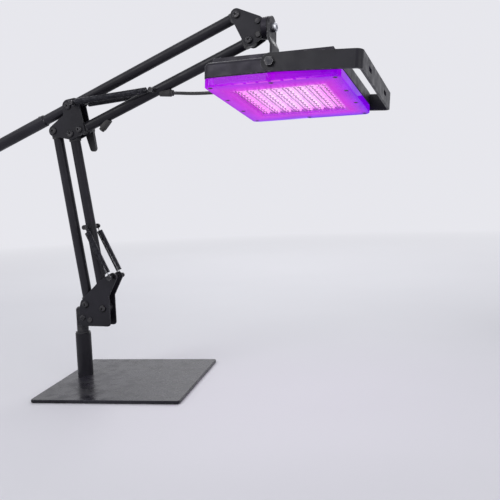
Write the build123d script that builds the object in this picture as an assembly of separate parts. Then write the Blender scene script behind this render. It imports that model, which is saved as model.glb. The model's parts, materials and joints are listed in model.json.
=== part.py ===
from build123d import *
import os
from math import atan2, cos, degrees, hypot, pi, radians, sin, tan

# Ultraviolet exposure lamp for screen printing: a flat base plate with a short post, a balanced arm
# of two parallelogram links with springs, and a flat lamp head full of small emitters.
# Millimetres, +Z up. The origin is on the swivel axis, on the surface that the base stands on.
# The arm is drawn in its own plane (X outward from the post, Y across the hinges, Z up) and is then
# turned about the post. The lamp is drawn lying flat on its cover and is then hung from its bolt.

# ---------------------------------------------------------------- driving dimensions
# Base and post
PLATE_X = 180.0
PLATE_Y = 200.0
PLATE_THICK = 3.2
PLATE_CORNER = 4.0
PLATE_EDGE = 0.7
POST_INSET = 22.0            # from the plate's left edge to the swivel axis
PLATE_FORWARD = 17.0         # the plate's middle is this far in front of the swivel axis
PAD_THICK = 0.8
PAD_INSET = 1.0
POST_RADIUS = 10.0
POST_TOP = 60.0
POST_BORE_DEPTH = 42.0
POST_SCREW_RADIUS = 4.0
POST_SCREW_HEAD = 7.6
POST_SCREW_REACH = 10.0
SINK_FLOOR = 0.6             # plate left above the sunk head of the post's screw
BUSH_WALL = 1.2
SPIGOT_RADIUS = 6.0
SPIGOT_HEAD_RADIUS = 7.5
SPIGOT_TIP_GAP = 1.0         # left under the spigot in its bush
RUNNING = 0.05               # radial clearance of a pin that turns
OPEN_PLAY = 0.15             # the same at the fourth pivot of each parallelogram
SIDE_PLAY = 0.1              # play beside each part that turns between two plates
FACE_GAP = 0.3               # gap between two bodies that pass each other

# Arm, in its own plane
ARM_TURN = 10.0              # how far the arm is swung towards the front, degrees
SWIVEL_LEFT = 1.5
SWIVEL_LIFT = 10.0           # from the post's top to the foot bracket's lower edge
SWIVEL_RIGHT = 46.0
SWIVEL_CORNER = 4.0
SWIVEL_BLOCK_END = 22.0
SWIVEL_BLOCK_HEIGHT = 18.0
SPIGOT_HEAD_DROP = 4.0       # top of the spigot, below the foot pivot
EAR_RADIUS = 5.6
FOOT_X = 11.5                # foot pivot of the left lower tube, from the swivel axis
FOOT_RISE = 28.0             # and above the bracket's lower edge
LOWER_LENGTH = 226.0
LOWER_LEAN = 8.0             # backward lean of the lower tubes, degrees
LOWER_PAIR = (24.8, -5.0)    # from the left lower tube's pivots to the right one's
ELBOW_STEP = (23.35, 29.7)   # from the left lower tube's elbow pivot to the top tube's
UPPER_LENGTH = 247.0
UPPER_RISE = 20.5            # rise of the upper tubes, degrees
UPPER_PAIR = (14.3, -29.9)   # from the top tube's pivots to the low tube's
TUBE_RADIUS = 6.35
TUBE_WALL = 1.2
TUBE_START = 9.5             # from a pivot to where its tube starts
PLUG_LENGTH = 16.0
PLUG_HALF_WIDTH = 6.5
SLEEVE_RADIUS = 4.2
PLATE_GAUGE = 2.0            # sheet of the three pairs of side plates
PIVOT_RADIUS = 2.5
PIVOT_HEAD_RADIUS = 4.4
PIVOT_HEAD = 2.6
RIVET_HEAD_RADIUS = 3.6
RIVET_HEAD = 1.6
NUT_RADIUS = 4.4
NUT_HEIGHT = 3.6

# Springs
SPRING_RADIUS = 3.9
SPRING_WIRE = 0.55
SPRING_OFFSET = 14.6         # from the arm's plane to each spring's axis
SPRING_HOOK = 7.0            # from a pin's axis to the first coil
PIN_RADIUS = 1.9
PIN_OVERHANG = 3.0
LOWER_PIN_AT = 106.0         # along the right lower tube, from its foot pivot
UPPER_PIN_AT = 114.0         # along the low tube, from its elbow pivot
LOWER_STUD_STEP = (41.8, 35.6)    # from the left foot pivot
UPPER_STUD_STEP = (9.6, 3.0)      # from the top tube's elbow pivot

# Counterweight on the tail of the top tube
TAIL_STUB = 58.0             # tube behind the elbow pivot
WEIGHT_RADIUS = 7.6
WEIGHT_START = 41.0          # from the elbow pivot
WEIGHT_LENGTH = 106.0

# Elbow lever
LEVER_HUB_RADIUS = 6.5
LEVER_HUB_HEIGHT = 12.0
LEVER_REACH = 24.0
LEVER_END_RADIUS = 4.2
LEVER_THICK = 6.0
LEVER_SLANT = -12.0          # from straight down, degrees

# Head and tilt bolt
BLOCK_STEP = (7.94, 12.4)    # from the low tube's head pivot to the tilt block's back and its bolt
BOLT_RADIUS = 3.0
BLOCK_LENGTH = 7.5
BLOCK_HALF_HEIGHT = 12.0
DISC_RADIUS = 13.0
DISC_THICK = 7.0
WASHER_THICK = 1.2
STRAP_THICK = 3.0
STRAP_WIDTH = 26.0
STRAP_FOOT = 34.0
STRAP_JOG = 3.5              # how far the strap steps away from the disc below its eye
STRAP_JOG_FROM = 15.0        # from the bolt down to where the step starts
STRAP_JOG_DROP = 8.0
STRAP_CORNER = 5.0
BOLT_HEAD_RADIUS = 5.6
BOLT_HEAD = 4.6

# Lamp, flat on its cover: X along the arm, Y across, Z up from the cover's face
LAMP_X = 148.0
LAMP_Y = 164.0
LAMP_REACH = 34.5            # from the tilt block's front to the lamp's middle
LAMP_DROP = 87.7             # from the tilt bolt down to the cover's face
LAMP_TILT = 9.25             # the light is turned towards the front by this, degrees
LAMP_CORNER = 7.0
COVER_HEIGHT = 9.4
COVER_WALL = 2.4
COVER_INSET = 0.4            # the cover's edge stands this far inside the housing's
BOSS_RADIUS = 4.0
BOSS_INSET = 6.5
HOUSING_HEIGHT = 16.6
HOUSING_WALL = 3.0
HOUSING_BACK = 3.4
HOUSING_ROUND = 5.0
FIN_ROWS = 9                 # on each side of the middle one
FIN_THICK = 1.8
FIN_HEIGHT = 6.0
FIN_SLOPE = 3.0              # how far each end of a fin leans in
FIN_GAP = 4.0                # left between a fin and the driver box
FIN_INSET = 6.0              # from the housing's end to a fin's end
GASKET_THICK = 1.0
BOARD_THICK = 1.6
BOARD_DROP = 17.0            # pillars that carry the board below the back wall
PILLAR_RADIUS = 3.2
PILLAR_INSET = 22.0
BOARD_MARGIN = 9.0
COLUMNS = 8
ROWS = 12
COLUMN_PITCH = 13.4
ROW_PITCH = 9.6
CHIP = 5.4
CHIP_HEIGHT = 1.6
BOX_X = 60.0
BOX_Y = 92.0
BOX_HEIGHT = 13.0
BOX_WALL = 2.2
DRIVER_MARGIN = 13.0         # from the box's outside to the driver
SCREW_RADIUS = 1.5
SCREW_HEAD = 2.8
SCREW_HEAD_HEIGHT = 1.6
SCREW_PLAY = 0.2
THREAD_DEPTH = 4.5

# Stand bracket of the lamp
YOKE_PIVOT_X = 2.0           # from the lamp's centre
YOKE_PIVOT_Z = 18.8
YOKE_REACH = 92.0
YOKE_GAUGE = 3.0
YOKE_WIDTH = 19.5
YOKE_BEND = 7.0
YOKE_DROOP = 3.0             # how far the bracket hangs below level, degrees
YOKE_BOLT_HEAD = 5.0
YOKE_BOLT_HEIGHT = 3.4
YOKE_BOSS = 1.6
YOKE_BOSS_RADIUS = 5.0
YOKE_SLOT = (16.0, 5.2)
YOKE_SLOT_AT = 45.0

# Lead from the low tube to the lamp
LEAD_RADIUS = 2.0
GLAND_Z = 18.0
GLAND_RADIUS = 4.0
LEAD_EXIT = (118.0, -26.0)   # along the low tube from its elbow pivot, and the nose's slant to the tube
MAINS_EXIT = (40.0, -154.0)
NOSE_RADIUS = 3.6
NOSE_LENGTH = 17.0
LEAD_START = 12.0            # along the nose, from its root
LEAD_FIRST = 24.0            # where the lead starts to swing over to the lamp
LEAD_SECOND = (175.0, -6.5, 353.5)
LEAD_RUN_IN = 22.0           # straight run into the gland

# ---------------------------------------------------------------- worked out from them
GROUND_TOP = PAD_THICK + PLATE_THICK
PLATE_INNER = PLUG_HALF_WIDTH + SIDE_PLAY
PLATE_OUTER = PLATE_INNER + PLATE_GAUGE
BUSH_RADIUS = SPIGOT_RADIUS + RUNNING + BUSH_WALL
PIN_HALF = SPRING_OFFSET + PIN_OVERHANG
NOSE_INSIDE = TUBE_RADIUS - TUBE_WALL - 0.6
SWIVEL_BOTTOM = POST_TOP + SWIVEL_LIFT
SWIVEL_RIVETS = ((SWIVEL_LEFT + 5.0, SWIVEL_BOTTOM + 11.0), (SWIVEL_BLOCK_END - 5.0, SWIVEL_BOTTOM + 8.0))
HOUSING_Z = COVER_HEIGHT + GASKET_THICK
CAVITY_X = LAMP_X - 2 * HOUSING_WALL
CAVITY_Y = LAMP_Y - 2 * HOUSING_WALL
BOX_TOP = HOUSING_Z + HOUSING_HEIGHT + BOX_HEIGHT


def along(start, length, rise):
    return (start[0] + length * cos(radians(rise)), start[1] + length * sin(radians(rise)))


def shifted(point, step):
    return (point[0] + step[0], point[1] + step[1])


LOWER_ANGLE = 90 + LOWER_LEAN
FOOT_A = (FOOT_X, SWIVEL_BOTTOM + FOOT_RISE)
FOOT_B = shifted(FOOT_A, LOWER_PAIR)
ELBOW_A = along(FOOT_A, LOWER_LENGTH, LOWER_ANGLE)
ELBOW_B = along(FOOT_B, LOWER_LENGTH, LOWER_ANGLE)
ELBOW_C = shifted(ELBOW_A, ELBOW_STEP)
ELBOW_D = shifted(ELBOW_C, UPPER_PAIR)
HEAD_C = along(ELBOW_C, UPPER_LENGTH, UPPER_RISE)
HEAD_D = along(ELBOW_D, UPPER_LENGTH, UPPER_RISE)
LOWER_PIN = along(FOOT_B, LOWER_PIN_AT, LOWER_ANGLE)
UPPER_PIN = along(ELBOW_D, UPPER_PIN_AT, UPPER_RISE)
LOWER_STUD = shifted(FOOT_A, LOWER_STUD_STEP)
UPPER_STUD = shifted(ELBOW_C, UPPER_STUD_STEP)
BLOCK_START, BOLT_HEIGHT = shifted(HEAD_D, BLOCK_STEP)
BLOCK_END = BLOCK_START + BLOCK_LENGTH
BLOCK_RIVETS = tuple((BLOCK_START + RIVET_HEAD_RADIUS - 0.2, BOLT_HEIGHT + side * (BLOCK_HALF_HEIGHT - 4.5))
                     for side in (1, -1))
LAMP_CENTRE = BLOCK_END + LAMP_REACH
STRAP_X = BLOCK_END + DISC_THICK + WASHER_THICK + SIDE_PLAY
STRAP_LOCAL_X = STRAP_X - LAMP_CENTRE
STRAP_SCREWS = ((STRAP_LOCAL_X + STRAP_JOG + 11.0, 0.0), (STRAP_LOCAL_X + STRAP_JOG + 25.0, 0.0))


def on_arm(solid):
    """From the arm's own plane to where the arm stands on its post."""
    return solid.rotate(Axis.Z, -ARM_TURN)


def on_lamp(solid):
    """From the lamp lying flat on its cover to where it hangs from its bolt."""
    hung = solid.translate((0, 0, -LAMP_DROP)).rotate(Axis.X, -LAMP_TILT)
    return on_arm(hung.translate((LAMP_CENTRE, 0, BOLT_HEIGHT)))


def rod(radius, near, far, centre):
    """A round bar across the arm, from near to far along Y."""
    bar = Cylinder(radius, far - near, rotation=(90, 0, 0))
    return bar.translate((centre[0], (near + far) / 2, centre[1]))


def bar_at(solid, start, rise):
    """Turns a bar drawn along +X to its rise and sets its start on a pivot."""
    return solid.rotate(Axis.Y, -rise).translate((start[0], 0, start[1]))


def hull_plate(outline, thick, near):
    """A flat plate from a sketch in the arm's plane; near is its nearest Y."""
    sketch = Plane.XZ * outline
    return extrude(sketch, amount=thick, dir=(0, 1, 0)).translate((0, near, 0))


def lobe(point, radius):
    return Pos(point[0], point[1]) * Circle(radius)


def web(*lobes):
    """The outline drawn tight round its lobes."""
    return make_hull(Sketch([lobe(point, radius) for point, radius in lobes]).edges())


def group(pieces):
    """Separate solids under one name."""
    return Compound([solid for piece in pieces for solid in piece.solids()])


parts = {}


# ---------------------------------------------------------------- base and post
def make_base():
    middle = Pos(PLATE_X / 2 - POST_INSET, -PLATE_FORWARD)
    plate = extrude(middle * RectangleRounded(PLATE_X, PLATE_Y, PLATE_CORNER), PLATE_THICK)
    plate = chamfer(plate.edges().group_by(Axis.Z)[-1], PLATE_EDGE)
    head_height = PLATE_THICK - SINK_FLOOR
    head_cone = Cone(POST_SCREW_HEAD, POST_SCREW_HEAD - head_height, head_height,
                     align=(Align.CENTER, Align.CENTER, Align.MIN))
    plate -= Cylinder(POST_SCREW_RADIUS, PLATE_THICK * 2) + head_cone
    parts["base_plate"] = plate.translate((0, 0, PAD_THICK))
    pad = RectangleRounded(PLATE_X - 2 * PAD_INSET, PLATE_Y - 2 * PAD_INSET, PLATE_CORNER)
    parts["base_pad"] = extrude(middle * pad, PAD_THICK)
    post_height = POST_TOP - GROUND_TOP
    post = Cylinder(POST_RADIUS, post_height, align=(Align.CENTER, Align.CENTER, Align.MIN))
    post = chamfer(post.edges().group_by(Axis.Z)[-1], PLATE_EDGE)
    bore = Cylinder(BUSH_RADIUS, POST_BORE_DEPTH, align=(Align.CENTER, Align.CENTER, Align.MAX))
    tap = Cylinder(POST_SCREW_RADIUS, POST_SCREW_REACH, align=(Align.CENTER, Align.CENTER, Align.MIN))
    post = post - bore.translate((0, 0, post_height)) - tap
    parts["post"] = post.translate((0, 0, GROUND_TOP))
    shank = Cylinder(POST_SCREW_RADIUS, PLATE_THICK + POST_SCREW_REACH - SPIGOT_TIP_GAP,
                     align=(Align.CENTER, Align.CENTER, Align.MIN))
    socket = extrude(RegularPolygon(POST_SCREW_RADIUS - 1.1, 6), head_height - 1.0)
    parts["post_screw"] = (head_cone + shank - socket).translate((0, 0, PAD_THICK))


def make_swivel():
    bush_length = POST_BORE_DEPTH - 2.0
    bush = Cylinder(BUSH_RADIUS, bush_length) - Cylinder(SPIGOT_RADIUS + RUNNING, bush_length)
    flange_top = Cylinder(POST_RADIUS - 0.6, WASHER_THICK) - Cylinder(SPIGOT_RADIUS + RUNNING, WASHER_THICK)
    bush = bush.translate((0, 0, POST_TOP - bush_length / 2))
    bush += flange_top.translate((0, 0, POST_TOP + WASHER_THICK / 2))
    parts["post_bush"] = bush
    shoulder = POST_TOP + WASHER_THICK + SIDE_PLAY
    spigot_length = bush_length - SPIGOT_TIP_GAP
    spigot = Cylinder(SPIGOT_RADIUS, spigot_length, align=(Align.CENTER, Align.CENTER, Align.MAX))
    spigot = chamfer(spigot.edges().group_by(Axis.Z)[0], 1.2)
    head_top = FOOT_A[1] - SPIGOT_HEAD_DROP
    head = Cylinder(SPIGOT_HEAD_RADIUS, head_top - shoulder, align=(Align.CENTER, Align.CENTER, Align.MIN))
    head = chamfer(head.edges().group_by(Axis.Z)[-1], 2.5)
    block_x = SWIVEL_BLOCK_END - SWIVEL_LEFT
    block = Box(block_x, 2 * PLATE_INNER, SWIVEL_BLOCK_HEIGHT, align=(Align.MIN, Align.CENTER, Align.MIN))
    block = block.translate((SWIVEL_LEFT, 0, SWIVEL_BOTTOM - shoulder))
    flats = Box(4 * SPIGOT_HEAD_RADIUS, SPIGOT_HEAD_RADIUS, head_top, align=(Align.CENTER, Align.MIN, Align.MIN))
    flats = flats.translate((0, PLATE_INNER, SWIVEL_BOTTOM - FACE_GAP - shoulder))
    head -= flats + mirror(flats, Plane.XZ)
    solid = (spigot + head + block).translate((0, 0, shoulder))
    for centre in SWIVEL_RIVETS:
        solid -= rod(PIVOT_RADIUS, -PLATE_OUTER, PLATE_OUTER, centre)
    parts["swivel_spigot"] = on_arm(solid)


# ---------------------------------------------------------------- side plates
def swivel_outline():
    """Foot bracket: a broad web with a sloping back and a pointed ear for the springs."""
    left = SWIVEL_LEFT + SWIVEL_CORNER
    right = SWIVEL_RIGHT - SWIVEL_CORNER
    bottom = SWIVEL_BOTTOM + SWIVEL_CORNER
    shoulder = (shifted(FOOT_A, (26.0, 25.0)), 7.0)
    hip = ((right, FOOT_A[1] + 12.0), SWIVEL_CORNER)
    outline = web(
        ((left, bottom), SWIVEL_CORNER),
        ((right, bottom), SWIVEL_CORNER),
        ((left, FOOT_A[1] - 2.0 - SWIVEL_CORNER), SWIVEL_CORNER),
        (FOOT_A, 8.0),
        shoulder,
        hip,
    )
    ear = web(shoulder, (LOWER_STUD, EAR_RADIUS), hip)
    return outline + ear


def elbow_outline():
    """Elbow bracket: a tall web round the upper pivots, with a lobe for the left lower tube."""
    tall = web((ELBOW_C, 8.2), (UPPER_STUD, 6.4), (ELBOW_D, 7.6), (ELBOW_B, 7.6))
    side = web((ELBOW_A, 6.8), (ELBOW_B, 7.6), (shifted(ELBOW_C, (-1.0, -16.0)), 8.0))
    return tall + side


def head_outline():
    """Head bracket: a wedge from the two tube ends forward to the tilt block."""
    return web((HEAD_C, 7.2), (HEAD_D, 7.2), ((BLOCK_END - 2.0, BOLT_HEIGHT + BLOCK_HALF_HEIGHT - 1.0), 2.0),
               ((BLOCK_END - 2.0, BOLT_HEIGHT - BLOCK_HALF_HEIGHT + 1.0), 2.0))


def plate_pair(name, outline, holes):
    near = hull_plate(outline, PLATE_GAUGE, -PLATE_OUTER)
    for centre, radius in holes:
        near -= rod(radius, -PLATE_OUTER - 1, -PLATE_INNER + 1, centre)
    near = chamfer(near.faces().sort_by(Axis.Y)[0].outer_wire().edges(), 0.35)
    far = mirror(near, Plane.XZ)
    parts[name + "_plate_near"] = on_arm(near)
    parts[name + "_plate_far"] = on_arm(far)


def make_plates():
    swivel_holes = [(centre, PIVOT_RADIUS) for centre in (FOOT_A, FOOT_B, *SWIVEL_RIVETS)]
    plate_pair("swivel", swivel_outline(), swivel_holes + [(LOWER_STUD, PIN_RADIUS)])
    elbow_holes = [(centre, PIVOT_RADIUS) for centre in (ELBOW_A, ELBOW_B, ELBOW_C, ELBOW_D)]
    plate_pair("elbow", elbow_outline(), elbow_holes + [(UPPER_STUD, PIN_RADIUS)])
    head_holes = [(centre, PIVOT_RADIUS) for centre in (HEAD_C, HEAD_D)]
    plate_pair("head", head_outline(), head_holes + [(point, PIVOT_RADIUS) for point in BLOCK_RIVETS])


# ---------------------------------------------------------------- fasteners across the arm
def pivot_bolt(centre, shank_end):
    shank = rod(PIVOT_RADIUS, -PLATE_OUTER - 0.5, shank_end, centre)
    head = rod(PIVOT_HEAD_RADIUS, -PLATE_OUTER - PIVOT_HEAD, -PLATE_OUTER, centre)
    head = chamfer(head.edges().group_by(Axis.Y)[0], 1.0)
    socket = extrude(Plane.XZ * RegularPolygon(1.9, 6), amount=1.5, dir=(0, 1, 0))
    socket = socket.translate((centre[0], -PLATE_OUTER - PIVOT_HEAD, centre[1]))
    return shank + head - socket


def hex_nut(centre, start, bore):
    nut = extrude(Plane.XZ * RegularPolygon(NUT_RADIUS, 6), amount=NUT_HEIGHT, dir=(0, 1, 0))
    nut = nut.translate((centre[0], start, centre[1]))
    return nut - rod(bore, start - 1, start + NUT_HEIGHT + 1, centre)


def rivet(centre):
    body = rod(PIVOT_RADIUS, -PLATE_OUTER, PLATE_OUTER, centre)
    for side in (-1, 1):
        edge = side * PLATE_OUTER
        outer = edge + side * RIVET_HEAD
        head = rod(RIVET_HEAD_RADIUS, min(edge, outer), max(edge, outer), centre)
        body += chamfer(head.edges().group_by(Axis.Y)[0 if side < 0 else -1], 0.8)
    return body


def spring_stud(centre, side):
    """A stud riveted in one side plate, with a groove for a spring's hook."""
    inner = PLATE_INNER
    body = rod(PIN_RADIUS, inner, PIN_HALF, centre)
    collar = rod(PIN_RADIUS + 1.1, PLATE_OUTER, PLATE_OUTER + 2.0, centre)
    cap = rod(PIN_RADIUS + 1.1, PIN_HALF - 1.4, PIN_HALF, centre)
    stud = body + collar + cap
    return stud if side > 0 else mirror(stud, Plane.XZ)


def make_fasteners():
    bolt_end = PLATE_OUTER + NUT_HEIGHT + 0.6
    nut_bore = PIVOT_RADIUS

    def bolts_and_nuts(name, centres):
        parts[name + "_bolts"] = on_arm(group(pivot_bolt(centre, bolt_end) for centre in centres))
        parts[name + "_nuts"] = on_arm(group(hex_nut(centre, PLATE_OUTER, nut_bore) for centre in centres))

    bolts_and_nuts("swivel", (FOOT_A, FOOT_B))
    bolts_and_nuts("elbow", (ELBOW_A, ELBOW_B, ELBOW_C))
    bolts_and_nuts("head", (HEAD_C, HEAD_D))
    parts["swivel_rivets"] = on_arm(group(rivet(centre) for centre in SWIVEL_RIVETS))
    parts["head_rivets"] = on_arm(group(rivet(centre) for centre in BLOCK_RIVETS))
    parts["lower_spring_studs"] = on_arm(group(spring_stud(LOWER_STUD, side) for side in (-1, 1)))
    parts["upper_spring_studs"] = on_arm(group(spring_stud(UPPER_STUD, side) for side in (-1, 1)))
    parts["elbow_lever_bolt"] = on_arm(pivot_bolt(ELBOW_D, PLATE_OUTER + LEVER_HUB_HEIGHT - 2.0))


# ---------------------------------------------------------------- tubes, plugs and spring pins
def tube_between(first, last):
    length = last - first
    tube = Cylinder(TUBE_RADIUS, length) - Cylinder(TUBE_RADIUS - TUBE_WALL, length)
    return tube.rotate(Axis.Y, 90).translate(((first + last) / 2, 0, 0))


def end_plug(facing, play=RUNNING):
    """A moulded plug with a round eye on the pivot; facing is +1 where the tube lies towards +X."""
    eye = Cylinder(TUBE_RADIUS, 2 * PLUG_HALF_WIDTH, rotation=(90, 0, 0))
    neck_half = TUBE_RADIUS - TUBE_WALL
    neck = Box(TUBE_START, 2 * PLUG_HALF_WIDTH - 2.0, 2 * TUBE_RADIUS - 2.0)
    neck = neck.translate((TUBE_START / 2, 0, 0))
    spigot = Cylinder(neck_half, PLUG_LENGTH, rotation=(0, 90, 0))
    spigot = spigot.translate((TUBE_START + PLUG_LENGTH / 2, 0, 0))
    plug = eye + neck + spigot
    plug -= Cylinder(PIVOT_RADIUS + play, 4 * PLUG_HALF_WIDTH, rotation=(90, 0, 0))
    return plug if facing > 0 else plug.rotate(Axis.Y, 180)


def spring_pin(at, start, rise):
    pin = rod(PIN_RADIUS, -PIN_HALF, PIN_HALF, (at, 0))
    for side in (-1, 1):
        edge = side * PIN_HALF
        pin += rod(PIN_RADIUS + 1.1, min(edge, edge - side * 1.4), max(edge, edge - side * 1.4), (at, 0))
        seat = side * TUBE_RADIUS
        pin += rod(PIN_RADIUS + 1.3, min(seat, seat + side * 2.2), max(seat, seat + side * 2.2), (at, 0))
    return bar_at(pin, start, rise)


def make_tubes():
    pin_hole = rod(PIN_RADIUS, -TUBE_RADIUS * 2, TUBE_RADIUS * 2, (0, 0))
    left = tube_between(TUBE_START, LOWER_LENGTH - TUBE_START)
    right = left - pin_hole.translate((LOWER_PIN_AT, 0, 0))
    left_plugs = [end_plug(1), end_plug(-1).translate((LOWER_LENGTH, 0, 0))]
    right_plugs = [end_plug(1), end_plug(-1, OPEN_PLAY).translate((LOWER_LENGTH, 0, 0))]
    parts["lower_tube_left"] = on_arm(bar_at(left, FOOT_A, LOWER_ANGLE))
    parts["lower_tube_right"] = on_arm(bar_at(right, FOOT_B, LOWER_ANGLE))
    parts["lower_left_plugs"] = on_arm(group(bar_at(plug, FOOT_A, LOWER_ANGLE) for plug in left_plugs))
    parts["lower_right_plugs"] = on_arm(group(bar_at(plug, FOOT_B, LOWER_ANGLE) for plug in right_plugs))
    parts["lower_spring_pin"] = on_arm(spring_pin(LOWER_PIN_AT, FOOT_B, LOWER_ANGLE))

    top = tube_between(-TAIL_STUB, UPPER_LENGTH - TUBE_START)
    top -= rod(SLEEVE_RADIUS, -TUBE_RADIUS * 2, TUBE_RADIUS * 2, (0, 0))
    sleeve = rod(SLEEVE_RADIUS, -PLUG_HALF_WIDTH, PLUG_HALF_WIDTH, (0, 0))
    sleeve -= rod(PIVOT_RADIUS + RUNNING, -PLUG_HALF_WIDTH - 1, PLUG_HALF_WIDTH + 1, (0, 0))
    parts["upper_tube_top"] = on_arm(bar_at(top, ELBOW_C, UPPER_RISE))
    top_plugs = [sleeve, end_plug(-1, OPEN_PLAY).translate((UPPER_LENGTH, 0, 0))]
    parts["upper_top_plugs"] = on_arm(group(bar_at(plug, ELBOW_C, UPPER_RISE) for plug in top_plugs))

    low = tube_between(TUBE_START, UPPER_LENGTH - TUBE_START)
    low -= pin_hole.translate((UPPER_PIN_AT, 0, 0))
    for exit_at, slant in (LEAD_EXIT, MAINS_EXIT):
        low -= nose_bar(NOSE_RADIUS, exit_at, slant)
    upper_plugs = [end_plug(1), end_plug(-1).translate((UPPER_LENGTH, 0, 0))]
    parts["upper_tube_low"] = on_arm(bar_at(low, ELBOW_D, UPPER_RISE))
    parts["upper_low_plugs"] = on_arm(group(bar_at(plug, ELBOW_D, UPPER_RISE) for plug in upper_plugs))
    parts["upper_spring_pin"] = on_arm(spring_pin(UPPER_PIN_AT, ELBOW_D, UPPER_RISE))


def nose_bar(radius, exit_at, slant, length=NOSE_LENGTH):
    """A round bar that leaves the underside of a tube along +X at a slant, with nothing above its wall."""
    bar = Cylinder(radius, length, rotation=(0, 90, 0), align=(Align.CENTER, Align.CENTER, Align.MIN))
    bar = bar.rotate(Axis.Y, -slant).translate((exit_at, 0, -NOSE_INSIDE))
    upper = Box(4 * length, 4 * radius, 4 * length, align=(Align.CENTER, Align.CENTER, Align.MIN))
    return bar - upper.translate((exit_at, 0, -NOSE_INSIDE))


def make_grommets():
    def grommet(exit_at, slant):
        nose = nose_bar(NOSE_RADIUS, exit_at, slant)
        lip = nose_bar(NOSE_RADIUS + 0.9, exit_at, slant, NOSE_LENGTH - 3.0)
        lip -= Cylinder(TUBE_RADIUS, 2 * UPPER_LENGTH, rotation=(0, 90, 0))
        nose += lip
        nose -= nose_bar(LEAD_RADIUS + RUNNING, exit_at, slant, 3 * NOSE_LENGTH)
        return bar_at(nose, ELBOW_D, UPPER_RISE)

    parts["lead_grommets"] = on_arm(group(grommet(*place) for place in (LEAD_EXIT, MAINS_EXIT)))


# ---------------------------------------------------------------- springs
def extension_spring(start, end, side):
    """The wound body of an extension spring as a closed tube, with a hook eye round each pin."""
    span = hypot(end[0] - start[0], end[1] - start[1])
    angle = degrees(atan2(end[1] - start[1], end[0] - start[0]))
    body_length = span - 2 * SPRING_HOOK
    body = Cylinder(SPRING_RADIUS, body_length) - Cylinder(SPRING_RADIUS - 2 * SPRING_WIRE, body_length)
    body = body.rotate(Axis.Y, 90).translate((span / 2, 0, 0))
    eye_radius = PIN_RADIUS + SPRING_WIRE + 0.25
    wire_ends = []
    for centre, way in ((0, 1), (span, -1)):
        eye = rod(eye_radius + SPRING_WIRE, -SPRING_WIRE, SPRING_WIRE, (centre, 0))
        eye -= rod(eye_radius - SPRING_WIRE, -2 * SPRING_WIRE, 2 * SPRING_WIRE, (centre, 0))
        reach = SPRING_HOOK - eye_radius + 1.0
        leg = Cylinder(SPRING_WIRE, reach, rotation=(0, 90, 0))
        leg = leg.translate((centre + way * (eye_radius + reach / 2), 0, 0))
        cap = Cylinder(SPRING_RADIUS - SPRING_WIRE, 1.0, rotation=(0, 90, 0))
        cap = cap.translate((centre + way * (SPRING_HOOK + 0.5), 0, 0))
        wire_ends += [eye, leg, cap]
    spring = body
    for piece in wire_ends:
        spring += piece
    spring = spring.translate((0, side * SPRING_OFFSET, 0))
    return spring.rotate(Axis.Y, -angle).translate((start[0], 0, start[1]))


def make_springs():
    for word, side in (("near", -1), ("far", 1)):
        parts["lower_spring_" + word] = on_arm(extension_spring(LOWER_STUD, LOWER_PIN, side))
        parts["upper_spring_" + word] = on_arm(extension_spring(UPPER_STUD, UPPER_PIN, side))


# ---------------------------------------------------------------- counterweight and lever
def make_counterweight():
    weight = Cylinder(WEIGHT_RADIUS, WEIGHT_LENGTH)
    weight = chamfer(weight.edges().group_by(Axis.Z)[-1], 1.2)
    weight = chamfer(weight.edges().group_by(Axis.Z)[0], 1.6)
    socket_depth = TAIL_STUB - WEIGHT_START
    socket = Cylinder(TUBE_RADIUS, socket_depth, align=(Align.CENTER, Align.CENTER, Align.MIN))
    weight -= socket.translate((0, 0, -WEIGHT_LENGTH / 2))
    grub_at = -WEIGHT_LENGTH / 2 + socket_depth / 2
    tapped = Cylinder(SCREW_RADIUS, WEIGHT_RADIUS, align=(Align.CENTER, Align.CENTER, Align.MIN))
    weight -= tapped.rotate(Axis.Y, 90).translate((0, 0, grub_at))
    weight = weight.rotate(Axis.Y, -90).translate((-WEIGHT_START - WEIGHT_LENGTH / 2, 0, 0))
    parts["counterweight"] = on_arm(bar_at(weight, ELBOW_C, UPPER_RISE))
    grub_length = WEIGHT_RADIUS - TUBE_RADIUS + 0.6
    grub = Cylinder(SCREW_RADIUS, grub_length, align=(Align.CENTER, Align.CENTER, Align.MIN))
    grub -= extrude(RegularPolygon(0.8, 6), 1.0).translate((0, 0, grub_length - 0.9))
    grub = grub.translate((0, 0, TUBE_RADIUS))
    grub = grub.translate((-WEIGHT_START - socket_depth / 2, 0, 0))
    parts["counterweight_screw"] = on_arm(bar_at(grub, ELBOW_C, UPPER_RISE))


def make_lever():
    """A cast clamping lever on the far end of the elbow's lowest bolt."""
    start = PLATE_OUTER + SIDE_PLAY
    hub = Cylinder(LEVER_HUB_RADIUS, LEVER_HUB_HEIGHT, align=(Align.CENTER, Align.CENTER, Align.MIN))
    hub = chamfer(hub.edges().group_by(Axis.Z)[-1], 1.4)
    arm = extrude(make_hull(Sketch([Circle(LEVER_HUB_RADIUS - 0.4),
                                    Pos(0, -LEVER_REACH) * Circle(LEVER_END_RADIUS)]).edges()), LEVER_THICK)
    arm = chamfer(arm.edges().group_by(Axis.Z)[-1], 1.4)
    lever = hub + arm.translate((0, 0, LEVER_HUB_HEIGHT - LEVER_THICK - 1.0))
    bore = Cylinder(PIVOT_RADIUS + RUNNING, LEVER_HUB_HEIGHT - 1.6, align=(Align.CENTER, Align.CENTER, Align.MIN))
    lever -= bore
    lever = lever.rotate(Axis.X, -90).rotate(Axis.Y, 180 + LEVER_SLANT)
    parts["elbow_lever"] = on_arm(lever.translate((ELBOW_D[0], start, ELBOW_D[1])))


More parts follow.
